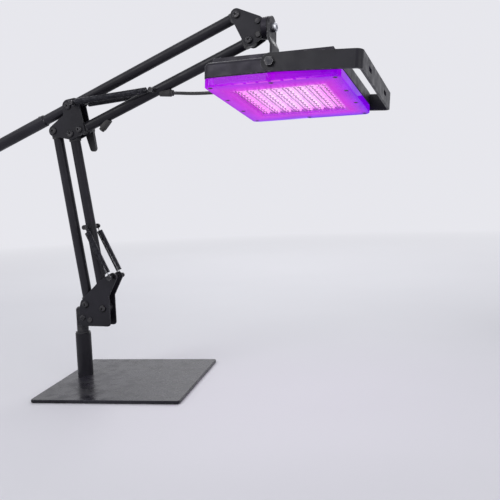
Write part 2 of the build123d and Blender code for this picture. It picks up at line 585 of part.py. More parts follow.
# ---------------------------------------------------------------- head, tilt bolt and strap
def make_head():
    block_x = BLOCK_END - BLOCK_START
    block = Box(block_x, 2 * PLATE_INNER, 2 * BLOCK_HALF_HEIGHT)
    block = block.translate((BLOCK_START + block_x / 2, 0, BOLT_HEIGHT))
    disc = Cylinder(DISC_RADIUS, DISC_THICK, rotation=(0, 90, 0))
    disc = chamfer(disc.edges().group_by(Axis.X)[0], 0.8)
    disc = disc.translate((BLOCK_END + DISC_THICK / 2, 0, BOLT_HEIGHT))
    head = block + disc
    bore = Cylinder(BOLT_RADIUS, 4 * (block_x + DISC_THICK), rotation=(0, 90, 0))
    bore = bore.translate((BLOCK_END, 0, BOLT_HEIGHT))
    head -= bore
    for centre in BLOCK_RIVETS:
        head -= rod(PIVOT_RADIUS, -PLATE_OUTER, PLATE_OUTER, centre)
    parts["head_block"] = on_arm(head)

    def washer(start):
        ring = Cylinder(DISC_RADIUS - 1.0, WASHER_THICK) - Cylinder(BOLT_RADIUS, WASHER_THICK)
        return ring.rotate(Axis.Y, 90).translate((start + WASHER_THICK / 2, 0, BOLT_HEIGHT))

    parts["friction_washer"] = on_arm(washer(BLOCK_END + DISC_THICK))
    bolt_seat = STRAP_X + STRAP_THICK + 0.1
    shank_start = BLOCK_START - 4.0
    shank = Cylinder(BOLT_RADIUS, bolt_seat - shank_start, rotation=(0, 90, 0))
    shank = shank.translate(((bolt_seat + shank_start) / 2, 0, BOLT_HEIGHT))
    cap = Cylinder(BOLT_HEAD_RADIUS, BOLT_HEAD, rotation=(0, 90, 0))
    cap = chamfer(cap.edges().group_by(Axis.X)[-1], 1.4)
    cap = cap.translate((bolt_seat + BOLT_HEAD / 2, 0, BOLT_HEIGHT))
    socket = extrude(Plane.YZ * RegularPolygon(2.6, 6), amount=2.6)
    socket = socket.translate((bolt_seat + BOLT_HEAD - 2.5, 0, BOLT_HEIGHT))
    parts["tilt_bolt"] = on_arm(shank + cap - socket)


def strap_profile():
    """The strap seen from its edge: an eye's height, a step away from the disc, an upright and a foot."""
    turn = atan2(STRAP_JOG, STRAP_JOG_DROP)
    rise = STRAP_THICK * tan(turn / 2)
    top = LAMP_DROP + STRAP_WIDTH / 2
    step_top = LAMP_DROP - STRAP_JOG_FROM
    step_end = step_top - STRAP_JOG_DROP
    outer = [(0, top), (0, step_top), (STRAP_JOG, step_end), (STRAP_JOG, BOX_TOP)]
    inner = [(STRAP_JOG + STRAP_FOOT, BOX_TOP), (STRAP_JOG + STRAP_FOOT, BOX_TOP + STRAP_THICK),
             (STRAP_JOG + STRAP_THICK, BOX_TOP + STRAP_THICK), (STRAP_JOG + STRAP_THICK, step_end + rise),
             (STRAP_THICK, step_top + rise), (STRAP_THICK, top)]
    profile = Polygon(*outer, *inner, align=None)
    profile = fillet(profile.vertices().sort_by_distance((STRAP_JOG, BOX_TOP))[0], STRAP_THICK)
    corner = (STRAP_JOG + STRAP_THICK, BOX_TOP + STRAP_THICK)
    return fillet(profile.vertices().sort_by_distance(corner)[0], STRAP_THICK / 2)


def make_strap():
    """The bent strap that hangs the lamp from its tilt bolt, drawn in the lamp's own frame."""
    strap = extrude(Plane.XZ * strap_profile(), amount=STRAP_WIDTH / 2, both=True)
    foot_end = strap.edges().filter_by(Axis.Z).group_by(Axis.X)[-1]
    strap = fillet(foot_end, STRAP_CORNER)
    eye = Rectangle(STRAP_WIDTH, LAMP_DROP - BOX_TOP, align=(Align.CENTER, Align.MIN))
    eye = Pos(0, BOX_TOP) * eye + Pos(0, LAMP_DROP) * Circle(STRAP_WIDTH / 2)
    strap &= extrude(Plane.YZ * eye, amount=STRAP_JOG + STRAP_FOOT)
    strap = strap.translate((STRAP_LOCAL_X, 0, 0))
    strap -= Cylinder(BOLT_RADIUS + RUNNING, 30, rotation=(0, 90, 0)).translate((STRAP_LOCAL_X, 0, LAMP_DROP))
    for centre in STRAP_SCREWS:
        strap -= Cylinder(SCREW_RADIUS + 0.3, 4 * STRAP_THICK).translate((*centre, BOX_TOP))
    parts["lamp_strap"] = on_lamp(strap)
    parts["strap_screws"] = on_lamp(group(pan_screw(centre, BOX_TOP + STRAP_THICK, STRAP_THICK + BOX_WALL)
                                          for centre in STRAP_SCREWS))


def pan_screw(centre, seat, depth, way=1):
    """A pan-head screw standing on a face; way is +1 where its head is up."""
    head = Cylinder(SCREW_HEAD, SCREW_HEAD_HEIGHT, align=(Align.CENTER, Align.CENTER, Align.MIN))
    head = chamfer(head.edges().group_by(Axis.Z)[-1], 0.6)
    slot = Box(SCREW_HEAD * 1.3, 0.7, SCREW_HEAD_HEIGHT / 2).translate((0, 0, SCREW_HEAD_HEIGHT))
    cross = slot + slot.rotate(Axis.Z, 90)
    shank = Cylinder(SCREW_RADIUS, depth, align=(Align.CENTER, Align.CENTER, Align.MAX))
    screw = head - cross + shank
    if way < 0:
        screw = screw.rotate(Axis.X, 180)
    return screw.translate((centre[0], centre[1], seat))


# ---------------------------------------------------------------- lamp
def cover_points():
    """Screws round the rim: the corners, one in the middle of each end, two on each long side."""
    x = LAMP_X / 2 - BOSS_INSET
    y = LAMP_Y / 2 - BOSS_INSET
    points = [(sx * x, sy * y) for sx in (-1, 1) for sy in (-1, 1)]
    points += [(0, -y), (0, y)]
    points += [(sx * x, sy * y / 3) for sx in (-1, 1) for sy in (-1, 1)]
    return points


def rim(inset, height):
    return extrude(RectangleRounded(LAMP_X - 2 * inset, LAMP_Y - 2 * inset, max(LAMP_CORNER - inset, 1.5)), height)


def fin_between(start, end):
    """A cooling fin along X on the housing's back, with leaning ends."""
    side = Polygon((start, 0), (end, 0), (end - FIN_SLOPE, FIN_HEIGHT), (start + FIN_SLOPE, FIN_HEIGHT), align=None)
    return extrude(Plane.XZ * side, amount=FIN_THICK / 2, both=True)


def make_housing():
    shell = rim(0, HOUSING_HEIGHT)
    shell = fillet(shell.edges().group_by(Axis.Z)[-1], HOUSING_ROUND)
    shell -= rim(HOUSING_WALL, HOUSING_HEIGHT - HOUSING_BACK)
    cavity_height = HOUSING_HEIGHT - HOUSING_BACK
    boss = Cylinder(BOSS_RADIUS, cavity_height, align=(Align.CENTER, Align.CENTER, Align.MIN))
    for point in cover_points():
        shell += boss.translate((*point, 0))
    pillar = Cylinder(PILLAR_RADIUS, BOARD_DROP, align=(Align.CENTER, Align.CENTER, Align.MAX))
    for x in (PILLAR_INSET - LAMP_X / 2, LAMP_X / 2 - PILLAR_INSET):
        for y in (PILLAR_INSET - LAMP_Y / 2, LAMP_Y / 2 - PILLAR_INSET):
            shell += pillar.translate((x, y, cavity_height))
    drilled = Cylinder(SCREW_RADIUS, 2 * (THREAD_DEPTH + 1.0))
    fin_end = LAMP_X / 2 - FIN_INSET
    fin_pitch = (LAMP_Y / 2 - 2 * HOUSING_ROUND) / FIN_ROWS
    for row in range(-FIN_ROWS, FIN_ROWS + 1):
        beside_box = abs(row) * fin_pitch < BOX_Y / 2 + FIN_GAP
        starts = ((-fin_end, -BOX_X / 2 - FIN_GAP), (BOX_X / 2 + FIN_GAP, fin_end)) if beside_box else ((-fin_end, fin_end),)
        for start, end in starts:
            shell += fin_between(start, end).translate((0, row * fin_pitch, HOUSING_HEIGHT))
    gland_hole = Cylinder(GLAND_RADIUS, 4 * HOUSING_WALL, rotation=(0, 90, 0))
    shell -= gland_hole.translate((-LAMP_X / 2, 0, GLAND_Z - HOUSING_Z))
    pivot = (YOKE_PIVOT_X, YOKE_PIVOT_Z - HOUSING_Z)
    inside = LAMP_Y / 2 - 2 * HOUSING_WALL
    lug = rod(YOKE_BOSS_RADIUS, inside, LAMP_Y / 2 + YOKE_BOSS, pivot)
    thread = rod(PIVOT_RADIUS, inside, LAMP_Y / 2 + 2 * YOKE_BOSS, pivot)
    shell += lug + mirror(lug, Plane.XZ)
    shell -= thread + mirror(thread, Plane.XZ)
    for point in cover_points():
        shell -= drilled.translate((*point, 0))
    parts["lamp_housing"] = on_lamp(shell.translate((0, 0, HOUSING_Z)))


def make_cover():
    cover = rim(COVER_INSET, COVER_HEIGHT)
    cover = chamfer(cover.edges().group_by(Axis.Z)[0], 1.0)
    cover -= rim(COVER_INSET + COVER_WALL, COVER_HEIGHT).translate((0, 0, COVER_WALL))
    boss = Cylinder(BOSS_RADIUS, COVER_HEIGHT, align=(Align.CENTER, Align.CENTER, Align.MIN))
    ring = Cylinder(BOSS_RADIUS, GASKET_THICK, align=(Align.CENTER, Align.CENTER, Align.MIN))
    hole = Cylinder(SCREW_RADIUS + SCREW_PLAY, 4 * COVER_HEIGHT)
    sink = Cylinder(SCREW_HEAD + SCREW_PLAY, SCREW_HEAD_HEIGHT, align=(Align.CENTER, Align.CENTER, Align.MIN))
    gasket = rim(2 * COVER_INSET, GASKET_THICK) - rim(COVER_INSET + COVER_WALL + 0.6, GASKET_THICK)
    for point in cover_points():
        cover += boss.translate((*point, 0))
        gasket += ring.translate((*point, 0))
    for point in cover_points():
        cover -= (hole + sink).translate((*point, 0))
        gasket -= hole.translate((*point, 0))
    parts["lamp_cover"] = on_lamp(cover)
    parts["cover_gasket"] = on_lamp(gasket.translate((0, 0, COVER_HEIGHT)))
    depth = HOUSING_Z + THREAD_DEPTH - SCREW_HEAD_HEIGHT
    parts["cover_screws"] = on_lamp(group(pan_screw(point, SCREW_HEAD_HEIGHT, depth, -1)
                                          for point in cover_points()))


def make_emitters():
    board_z = HOUSING_Z + HOUSING_HEIGHT - HOUSING_BACK - BOARD_DROP - BOARD_THICK
    board = extrude(RectangleRounded(CAVITY_X - 2 * BOARD_MARGIN, CAVITY_Y - 2 * BOARD_MARGIN, 3.0), BOARD_THICK)
    parts["emitter_board"] = on_lamp(board.translate((0, 0, board_z)))
    chips = []
    body = Box(CHIP, CHIP, CHIP_HEIGHT, align=(Align.CENTER, Align.CENTER, Align.MAX))
    for column in range(COLUMNS):
        for row in range(ROWS):
            x = (column - (COLUMNS - 1) / 2) * COLUMN_PITCH
            y = (row - (ROWS - 1) / 2) * ROW_PITCH
            chips.append(body.translate((x, y, board_z)))
    parts["emitters"] = on_lamp(group(chips))


def make_driver_box():
    outer = extrude(RectangleRounded(BOX_X, BOX_Y, 5.0), BOX_HEIGHT)
    outer = chamfer(outer.edges().group_by(Axis.Z)[-1], 1.8)
    inner = extrude(RectangleRounded(BOX_X - 2 * BOX_WALL, BOX_Y - 2 * BOX_WALL, 3.0), BOX_HEIGHT - BOX_WALL)
    lid = outer - inner
    corners = [(x, y) for x in (6 - BOX_X / 2, BOX_X / 2 - 6) for y in (6 - BOX_Y / 2, BOX_Y / 2 - 6)]
    post = Cylinder(BOSS_RADIUS - 0.6, BOX_HEIGHT - BOX_WALL, align=(Align.CENTER, Align.CENTER, Align.MIN))
    for point in corners:
        lid += post.translate((*point, 0))
    for point in corners:
        lid -= Cylinder(SCREW_RADIUS + SCREW_PLAY, 3 * BOX_HEIGHT).translate((*point, 0))
    for point in STRAP_SCREWS:
        lid -= Cylinder(SCREW_RADIUS, 3 * BOX_WALL).translate((*point, BOX_HEIGHT))
    base = HOUSING_Z + HOUSING_HEIGHT
    parts["driver_box"] = on_lamp(lid.translate((0, 0, base)))
    parts["driver_box_screws"] = on_lamp(group(pan_screw(point, BOX_TOP, BOX_HEIGHT) for point in corners))
    driver = Box(BOX_X - 2 * DRIVER_MARGIN, BOX_Y - 2 * DRIVER_MARGIN, BOX_HEIGHT - 2 * BOX_WALL,
                 align=(Align.CENTER, Align.CENTER, Align.MIN))
    driver = chamfer(driver.edges().group_by(Axis.Z)[-1], 1.0)
    parts["driver"] = on_lamp(driver.translate((0, 0, base)))


# ---------------------------------------------------------------- stand bracket
def make_yoke():
    """The lamp's U-shaped stand bracket: one bent strip with a rounded eye at each end."""
    leg_y = LAMP_Y / 2 + YOKE_BOSS + FACE_GAP
    outer_y = leg_y + YOKE_GAUGE
    path = Pos(0, 0) * Rectangle(YOKE_REACH + YOKE_GAUGE, 2 * outer_y, align=(Align.MIN, Align.CENTER))
    path = fillet(path.vertices().group_by(Axis.X)[-1], YOKE_BEND)
    hole = Rectangle(YOKE_REACH, 2 * leg_y, align=(Align.MIN, Align.CENTER))
    hole = fillet(hole.vertices().group_by(Axis.X)[-1], YOKE_BEND - YOKE_GAUGE)
    strip = extrude(path - hole, amount=YOKE_WIDTH / 2, both=True)
    eyes = extrude(Plane.XZ * Circle(YOKE_WIDTH / 2), amount=outer_y, both=True)
    eyes -= Box(4 * YOKE_WIDTH, 2 * leg_y, 4 * YOKE_WIDTH)
    yoke = strip + eyes
    yoke -= rod(PIVOT_RADIUS + RUNNING, -2 * outer_y, 2 * outer_y, (0, 0))
    for side in (-1, 1):
        slot = extrude(SlotOverall(*YOKE_SLOT), amount=4 * YOKE_GAUGE, both=True)
        slot = slot.rotate(Axis.X, 90).rotate(Axis.Z, 90)
        yoke -= slot.translate((YOKE_REACH, side * YOKE_SLOT_AT, 0))
    place = (YOKE_PIVOT_X, 0, YOKE_PIVOT_Z)
    parts["lamp_yoke"] = on_lamp(yoke.rotate(Axis.Y, YOKE_DROOP).translate(place))
    bolts = []
    for side in (-1, 1):
        reach = rod(PIVOT_RADIUS, LAMP_Y / 2 - HOUSING_WALL, outer_y + 0.2, (0, 0))
        cap = extrude(Plane.XZ * RegularPolygon(YOKE_BOLT_HEAD, 6), amount=YOKE_BOLT_HEIGHT, dir=(0, 1, 0))
        cap = cap.translate((0, outer_y + SIDE_PLAY, 0))
        bolt = reach + cap
        bolts.append((bolt if side > 0 else mirror(bolt, Plane.XZ)).translate(place))
    parts["yoke_bolts"] = on_lamp(group(bolts))


# ---------------------------------------------------------------- lead and its gland
def lamp_point(x, y, z):
    """A point of the lamp's own frame, in the arm's plane."""
    drop = z - LAMP_DROP
    tilt = radians(-LAMP_TILT)
    return Vector(LAMP_CENTRE + x, y * cos(tilt) - drop * sin(tilt), BOLT_HEIGHT + y * sin(tilt) + drop * cos(tilt))


def make_gland():
    nut = extrude(Plane.YZ * RegularPolygon(6.4, 6), amount=3.4, dir=(-1, 0, 0))
    dome = Cylinder(5.4, 6.0, rotation=(0, 90, 0)).translate((-3.4 - 3.0, 0, 0))
    dome = chamfer(dome.edges().group_by(Axis.X)[0], 1.8)
    stem = Cylinder(GLAND_RADIUS, HOUSING_WALL + 1.0, rotation=(0, 90, 0)).translate((HOUSING_WALL / 2 + 0.5, 0, 0))
    gland = nut + dome + stem
    gland -= Cylinder(LEAD_RADIUS, 2 * LEAD_RUN_IN, rotation=(0, 90, 0))
    parts["cable_gland"] = on_lamp(gland.translate((-LAMP_X / 2, 0, GLAND_Z)))


def tangent_tube(points, radius):
    """A round lead along straight runs joined by arcs, each as large as its runs allow."""
    radii = []
    for before, corner, after in zip(points, points[1:], points[2:]):
        first = corner - before
        second = after - corner
        turn = radians(first.get_angle(second))
        radii.append(0.45 * min(first.length, second.length) / tan(turn / 2))
    print("lead radii", [round(value, 1) for value in radii])
    path = FilletPolyline(*points, radius=radii)
    section = Plane(origin=path @ 0, z_dir=path % 0) * Circle(radius)
    return sweep(section, path=path), path.length


def make_lead():
    """The lead in two lengths: from the arm's nose, and to the lamp's gland.

    They part on a cylinder round the head's lower pivot, so that they slide past each other as the arm moves.
    """
    end = lamp_point(-LAMP_X / 2 - 1.0, 0, GLAND_Z)
    before_gland = Vector(end.X - LEAD_RUN_IN, end.Y, end.Z)
    rise = UPPER_RISE + LEAD_EXIT[1]
    root = along(along(ELBOW_D, LEAD_EXIT[0], UPPER_RISE), NOSE_INSIDE, UPPER_RISE - 90)
    start, first = (along(root, length, rise) for length in (LEAD_START, LEAD_FIRST))
    route = [Vector(start[0], 0, start[1]), Vector(first[0], 0, first[1]), Vector(*LEAD_SECOND), before_gland, end]
    meeting = (route[2] + route[3]) / 2
    reach = hypot(meeting.X - HEAD_D[0], meeting.Z - HEAD_D[1])
    inside = rod(reach - FACE_GAP / 2, -LAMP_Y, LAMP_Y, HEAD_D)
    outside = Box(6 * reach, 2 * LAMP_Y, 6 * reach).translate((HEAD_D[0], 0, HEAD_D[1]))
    outside -= rod(reach + FACE_GAP / 2, -2 * LAMP_Y, 2 * LAMP_Y, HEAD_D)
    tube, length = tangent_tube(route, LEAD_RADIUS)
    print("lead length", round(length, 1), "volume against section", tube.volume / (pi * LEAD_RADIUS ** 2 * length))
    parts["lead_arm"] = on_arm(tube & outside)
    parts["lead_lamp"] = on_arm(tube & inside)
    print([[round(value, 2) for value in on_arm(Vertex(*point)).center()] for point in (*route, meeting)])


make_base()
make_swivel()
make_plates()
make_fasteners()
make_tubes()
make_grommets()
make_springs()
make_counterweight()
make_lever()
make_head()
make_strap()
make_housing()
make_cover()
make_emitters()
make_driver_box()
make_yoke()
make_gland()
make_lead()

os.makedirs("parts", exist_ok=True)
for name, solid in parts.items():
    export_step(solid, os.path.join("parts", name + ".step"))
print(len(parts), "nodes")
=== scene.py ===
# %% [markdown]
# # Dressing an exposure lamp on a balanced arm
# The part is an ultraviolet lamp on two spring-balanced parallelogram links. Its rigid pieces come
# ready made from CAD as a fixed frame. This lesson gives them their finishes, winds real coil
# springs, runs the lead, puts a lens on every emitter and lights the whole on a pale floor.
# The frame is loaded first.

# %% Load the frame
import json
import math
import bmesh
import bpy
from mathutils import Matrix, Vector


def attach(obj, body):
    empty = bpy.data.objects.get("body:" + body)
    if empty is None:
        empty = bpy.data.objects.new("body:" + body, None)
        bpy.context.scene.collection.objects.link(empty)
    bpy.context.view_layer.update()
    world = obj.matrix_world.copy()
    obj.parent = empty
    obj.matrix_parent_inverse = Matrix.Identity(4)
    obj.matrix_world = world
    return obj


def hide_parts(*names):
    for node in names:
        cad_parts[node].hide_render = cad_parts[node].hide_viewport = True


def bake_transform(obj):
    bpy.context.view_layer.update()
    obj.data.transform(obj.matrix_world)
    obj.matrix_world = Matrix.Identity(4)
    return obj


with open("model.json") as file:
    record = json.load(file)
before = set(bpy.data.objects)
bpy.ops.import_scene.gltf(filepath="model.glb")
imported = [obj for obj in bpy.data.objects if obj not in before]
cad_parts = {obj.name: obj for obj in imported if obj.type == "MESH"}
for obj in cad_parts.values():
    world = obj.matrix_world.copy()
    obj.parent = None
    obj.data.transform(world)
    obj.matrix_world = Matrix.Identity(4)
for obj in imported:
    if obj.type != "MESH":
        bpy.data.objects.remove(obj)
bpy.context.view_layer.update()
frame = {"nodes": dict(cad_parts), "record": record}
print("nodes in the frame:", len(frame["nodes"]))

# %% [markdown]
# ## Where things are
# The arm is drawn in a plane that is swung ten degrees towards the front, and the lamp hangs from its
# bolt with a tilt of its own. Two small helpers turn a place on the arm, or on the lamp lying flat on
# its cover, into a place in the room, so that every later number can be read off the object itself.

# %% Places on the arm and on the lamp
MM = 0.001
ARM_TURN = math.radians(-10.0)
LAMP_TILT = math.radians(-9.25)
ELBOW_TOP = (3.397, 351.501)
BOLT = (298.995, 420.502)
LAMP_DROP = 87.7

arm_matrix = Matrix.Rotation(ARM_TURN, 4, "Z")
lamp_matrix = (arm_matrix @ Matrix.Translation(Vector((BOLT[0], 0, BOLT[1])) * MM)
               @ Matrix.Rotation(LAMP_TILT, 4, "X") @ Matrix.Translation((0, 0, -LAMP_DROP * MM)))


def on_lamp(x, y, z):
    return lamp_matrix @ (Vector((x, y, z)) * MM)


print("middle of the light:", [round(v, 4) for v in on_lamp(0, 0, 0)])

# %% [markdown]
# ## The camera
# It stands in front of the lamp and a little above the arm's elbow, and looks slightly down. Its lens
# is given in millimetres for a 36 mm sensor. A small roll is left in.

# %% Camera
camera_data = bpy.data.cameras.new("camera")
camera_data.sensor_width = 36.0
camera_data.lens = 53.51
camera_data.clip_start = 0.02
camera = bpy.data.objects.new("camera", camera_data)
camera.location = (0.3826, -0.90865, 0.24384)
camera.rotation_euler = [math.radians(a) for a in (84.926, 2.396, 9.571)]
bpy.context.scene.collection.objects.link(camera)
bpy.context.scene.camera = camera
print("camera at", tuple(round(v, 3) for v in camera.location))

# %% [markdown]
# ## A finish from nodes
# Every finish starts from the Principled shader. The helpers below add the same few things that real
# surfaces have at their own scale: a slow change of tone, a fine grain that tilts the light, and a
# roughness that is not even. All of them read Object coordinates, so a grain is as fine on the post
# as on a bolt, and it stays with its piece when the arm moves.

# %% Finish helpers
finishes = {}


class Finish:
    """A material under construction: its node tree, shader and Object coordinates."""

    def __init__(self, name, colour, roughness, metallic=0.0):
        self.material = bpy.data.materials.new(name)
        self.material.use_nodes = True
        self.tree = self.material.node_tree
        self.shader = self.tree.nodes["Principled BSDF"]
        self.place = self.add("ShaderNodeTexCoord").outputs["Object"]
        self.normal = None
        self.set("Base Color", (*colour, 1.0))
        self.set("Roughness", roughness)
        self.set("Metallic", metallic)
        finishes[name] = self.material

    def add(self, kind, **values):
        node = self.tree.nodes.new(kind)
        for key, value in values.items():
            setattr(node, key, value)
        return node

    def join(self, output, socket):
        self.tree.links.new(output, socket)

    def feed(self, output, socket):
        """Joins an output to one of the shader's own sockets."""
        self.join(output, self.shader.inputs[socket])

    def set(self, socket, value):
        self.shader.inputs[socket].default_value = value

    def noise(self, scale, detail=3.0):
        node = self.add("ShaderNodeTexNoise")
        node.inputs["Scale"].default_value = scale
        node.inputs["Detail"].default_value = detail
        self.join(self.place, node.inputs["Vector"])
        return node.outputs["Fac"]

    def ramp(self, value, low, high, start=0.35, end=0.65):
        node = self.add("ShaderNodeMapRange")
        for socket, number in (("From Min", start), ("From Max", end), ("To Min", low), ("To Max", high)):
            node.inputs[socket].default_value = number
        self.join(value, node.inputs["Value"])
        return node.outputs["Result"]

    def math(self, operation, first, second):
        node = self.add("ShaderNodeMath", operation=operation, use_clamp=True)
        for index, value in enumerate((first, second)):
            if isinstance(value, float):
                node.inputs[index].default_value = value
            else:
                self.join(value, node.inputs[index])
        return node.outputs["Value"]

    def mix(self, factor, first, second):
        """A colour between two, each a tuple or an output."""
        node = self.add("ShaderNodeMix", data_type="RGBA")
        self.join(factor, node.inputs["Factor"])
        for socket, value in ((node.inputs[6], first), (node.inputs[7], second)):
            if isinstance(value, tuple):
                socket.default_value = (*value, 1.0)
            else:
                self.join(value, socket)
        return node.outputs[2]

    def bump(self, height, depth, strength=1.0):
        node = self.add("ShaderNodeBump")
        node.inputs["Strength"].default_value = strength
        node.inputs["Distance"].default_value = depth
        self.join(height, node.inputs["Height"])
        if self.normal is not None:
            self.join(self.normal, node.inputs["Normal"])
        self.normal = node.outputs["Normal"]

    def worn_edges(self, radius, start=0.04, end=0.22):
        """1 on the sharp edges, where a hand and a spanner rub the paint away, and 0 on the flats."""
        bevel = self.add("ShaderNodeBevel", samples=6)
        bevel.inputs["Radius"].default_value = radius
        geometry = self.add("ShaderNodeNewGeometry")
        dot = self.add("ShaderNodeVectorMath", operation="DOT_PRODUCT")
        self.join(bevel.outputs["Normal"], dot.inputs[0])
        self.join(geometry.outputs["Normal"], dot.inputs[1])
        edge = self.math("SUBTRACT", 1.0, dot.outputs["Value"])
        return self.ramp(edge, 0.0, 1.0, start, end)

    def done(self):
        if self.normal is not None:
            self.feed(self.normal, "Normal")
        return self.material


print("finish helpers ready")

# %% [markdown]
# ## Black powder coat
# The base plate, the tubes and the brackets are baked in black powder. It is never quite flat: it has
# an orange-peel skin about a millimetre across, a little dust on what faces up, and thin bright lines
# where corners have been knocked. Orange peel is a smooth noise used as a bump. The worn line comes
# from the Bevel node, which looks for nearby corners, broken up by a coarser noise.

# %% Powder coat


PAINT_TONE = (0.0075, 0.007, 0.0105)
DUST = (0.07, 0.068, 0.078)
BARE_STEEL = (0.30, 0.30, 0.32)


def powder_coat(name, tone, roughness, peel=0.55):
    finish = Finish(name, tone, roughness)
    patches = finish.noise(22.0, 4.0)
    grey = tuple(v * 1.8 + 0.003 for v in tone)
    colour = finish.mix(finish.ramp(patches, 0.0, 1.0), tone, grey)
    facing = finish.add("ShaderNodeSeparateXYZ")
    coords = finish.add("ShaderNodeTexCoord")
    finish.join(coords.outputs["Normal"], facing.inputs["Vector"])
    upward = finish.ramp(facing.outputs["Z"], 0.0, 0.5, 0.6, 1.0)
    dust = finish.math("MULTIPLY", upward, finish.ramp(finish.noise(260.0, 6.0), 0.0, 0.55, 0.46, 0.72))
    colour = finish.mix(dust, colour, DUST)
    chips = finish.ramp(finish.noise(330.0, 5.0), 0.0, 1.0, 0.48, 0.62)
    worn = finish.math("MULTIPLY", finish.worn_edges(0.0005), chips)
    colour = finish.mix(worn, colour, BARE_STEEL)
    finish.feed(colour, "Base Color")
    finish.feed(finish.math("MULTIPLY", worn, 0.8), "Metallic")
    rough = finish.ramp(finish.noise(70.0, 4.0), roughness - 0.07, roughness + 0.1)
    finish.feed(rough, "Roughness")
    finish.bump(finish.noise(850.0, 2.0), 0.00012, peel)
    finish.bump(finish.noise(3200.0, 2.0), 0.00003, 0.4)
    finish.set("Specular IOR Level", 0.25)
    return finish.done()


powder_coat("black_paint", PAINT_TONE, 0.40)
powder_coat("plate_paint", PAINT_TONE, 0.26, 0.07)
print("powder coat mixed")

# %% [markdown]
# ## Moulded plastic, rubber and the lead's jacket
# The plugs in the tube ends are moulded with a spark-eroded grain. Rubber is rougher still and a
# little paler where it has dried. The lead's jacket is soft PVC, with a low sheen and fine bumps
# along it. One recipe serves all three, and only the numbers change.

# %% Plastics and rubber


def moulded(name, tone, roughness, grain, depth, blotch=1.8, sheen=0.0):
    finish = Finish(name, tone, roughness)
    paler = tuple(v * blotch + 0.004 for v in tone)
    finish.feed(finish.mix(finish.ramp(finish.noise(55.0, 5.0), 0.0, 1.0), tone, paler), "Base Color")
    finish.feed(finish.ramp(finish.noise(180.0, 3.0), roughness - 0.06, roughness + 0.08), "Roughness")
    finish.bump(finish.noise(grain, 3.0), depth, 0.8)
    finish.set("Sheen Weight", sheen)
    return finish.done()


moulded("black_plastic", (0.010, 0.010, 0.012), 0.46, 2400.0, 0.00005)
moulded("rubber", (0.022, 0.021, 0.021), 0.82, 1500.0, 0.0001, 2.0, 0.15)
moulded("lead_jacket", (0.009, 0.0085, 0.010), 0.5, 1900.0, 0.00004, 1.6, 0.05)
moulded("driver_case", (0.03, 0.03, 0.032), 0.3, 700.0, 0.00006)
print("plastics and rubber mixed")

# %% [markdown]
# ## Metals
# The bolts are zinc plated, with the faint cloudiness of a passivated coat, and the cover's screws
# have a duller plate whose colour is tinted violet with painted light from the lamp. The rivets and the tilt
# bolt are black oxide, which is thin enough for bare steel to show at each edge. The springs are
# drawn wire, oiled and dark. Metal gets its look from Metallic 1 and an uneven roughness more than
# from its colour.

# %% Metals


def plated(name, tone, darker, roughness, cloud=120.0, grain=2600.0, depth=0.00002):
    finish = Finish(name, tone, roughness, 1.0)
    clouds = finish.noise(cloud, 5.0)
    finish.feed(finish.mix(finish.ramp(clouds, 0.0, 1.0), darker, tone), "Base Color")
    finish.feed(finish.ramp(finish.noise(420.0, 4.0), roughness - 0.08, roughness + 0.14), "Roughness")
    finish.bump(finish.noise(grain, 3.0), depth, 0.6)
    return finish


def black_oxide(name):
    finish = Finish(name, (0.03, 0.03, 0.034), 0.34, 0.85)
    worn = finish.math("MULTIPLY", finish.worn_edges(0.0004),
                       finish.ramp(finish.noise(500.0, 4.0), 0.25, 1.0, 0.42, 0.58))
    clouds = finish.mix(finish.ramp(finish.noise(160.0, 5.0), 0.0, 1.0),
                        (0.022, 0.022, 0.026), (0.06, 0.058, 0.06))
    finish.feed(finish.mix(worn, clouds, (0.42, 0.42, 0.44)), "Base Color")
    finish.feed(finish.ramp(finish.noise(300.0, 4.0), 0.28, 0.46), "Roughness")
    finish.bump(finish.noise(2200.0, 3.0), 0.00002, 0.5)
    return finish.done()


plated("zinc_steel", (0.60, 0.61, 0.64), (0.44, 0.46, 0.50), 0.30).done()
# The cover's screws: a dull plate tinted violet with painted light from the lamp.
plated("screw_painted_violet_light", (0.13, 0.11, 0.16), (0.07, 0.055, 0.09), 0.42).done()
plated("spring_steel", (0.065, 0.065, 0.075), (0.028, 0.028, 0.033), 0.40, 260.0).done()
black_oxide("black_steel")
print("metals mixed")

# %% [markdown]
# ## The lamp's own frame
# The glow (painted light on the cover and the board, the emitters' own light on the chips and lenses) and
# the board's pattern are worked in the lamp's own millimetres: a Mapping node turns
# Object coordinates back by the arm's swing and the lamp's tilt, so that X runs across the strips and
# Y along them. The distance to the middle of a strip or a row, found with a modulo, gives the thin
# dark joints and the dark spot of painted shade on each dome.

# %% Patterns in the lamp's frame
COLUMNS, ROWS = 8, 12
COLUMN_PITCH, ROW_PITCH = 13.4, 9.6
COVER_HEIGHT, GASKET_THICK, HOUSING_HEIGHT, HOUSING_BACK = 9.4, 1.0, 16.6, 3.4
BOARD_DROP, BOARD_THICK, CHIP_HEIGHT = 17.0, 1.6, 1.6
BOARD_Z = COVER_HEIGHT + GASKET_THICK + HOUSING_HEIGHT - HOUSING_BACK - BOARD_DROP - BOARD_THICK
LIT_X, LIT_Y = 52.5, 56.5
# The second colour is painted shade for the middle of each chip and lens.
DARK_JOINT, PAINTED_SHADE_SPOT, CLEAR_RESIN = (0.02, 0.004, 0.03), (0.30, 0.0, 0.26), (0.60, 0.45, 0.65)
# Colours of the cover's painted glow: magenta round the emitters, violet at its rim.
VIOLET, MAGENTA = (0.16, 0.0, 0.95), (0.68, 0.0, 0.84)


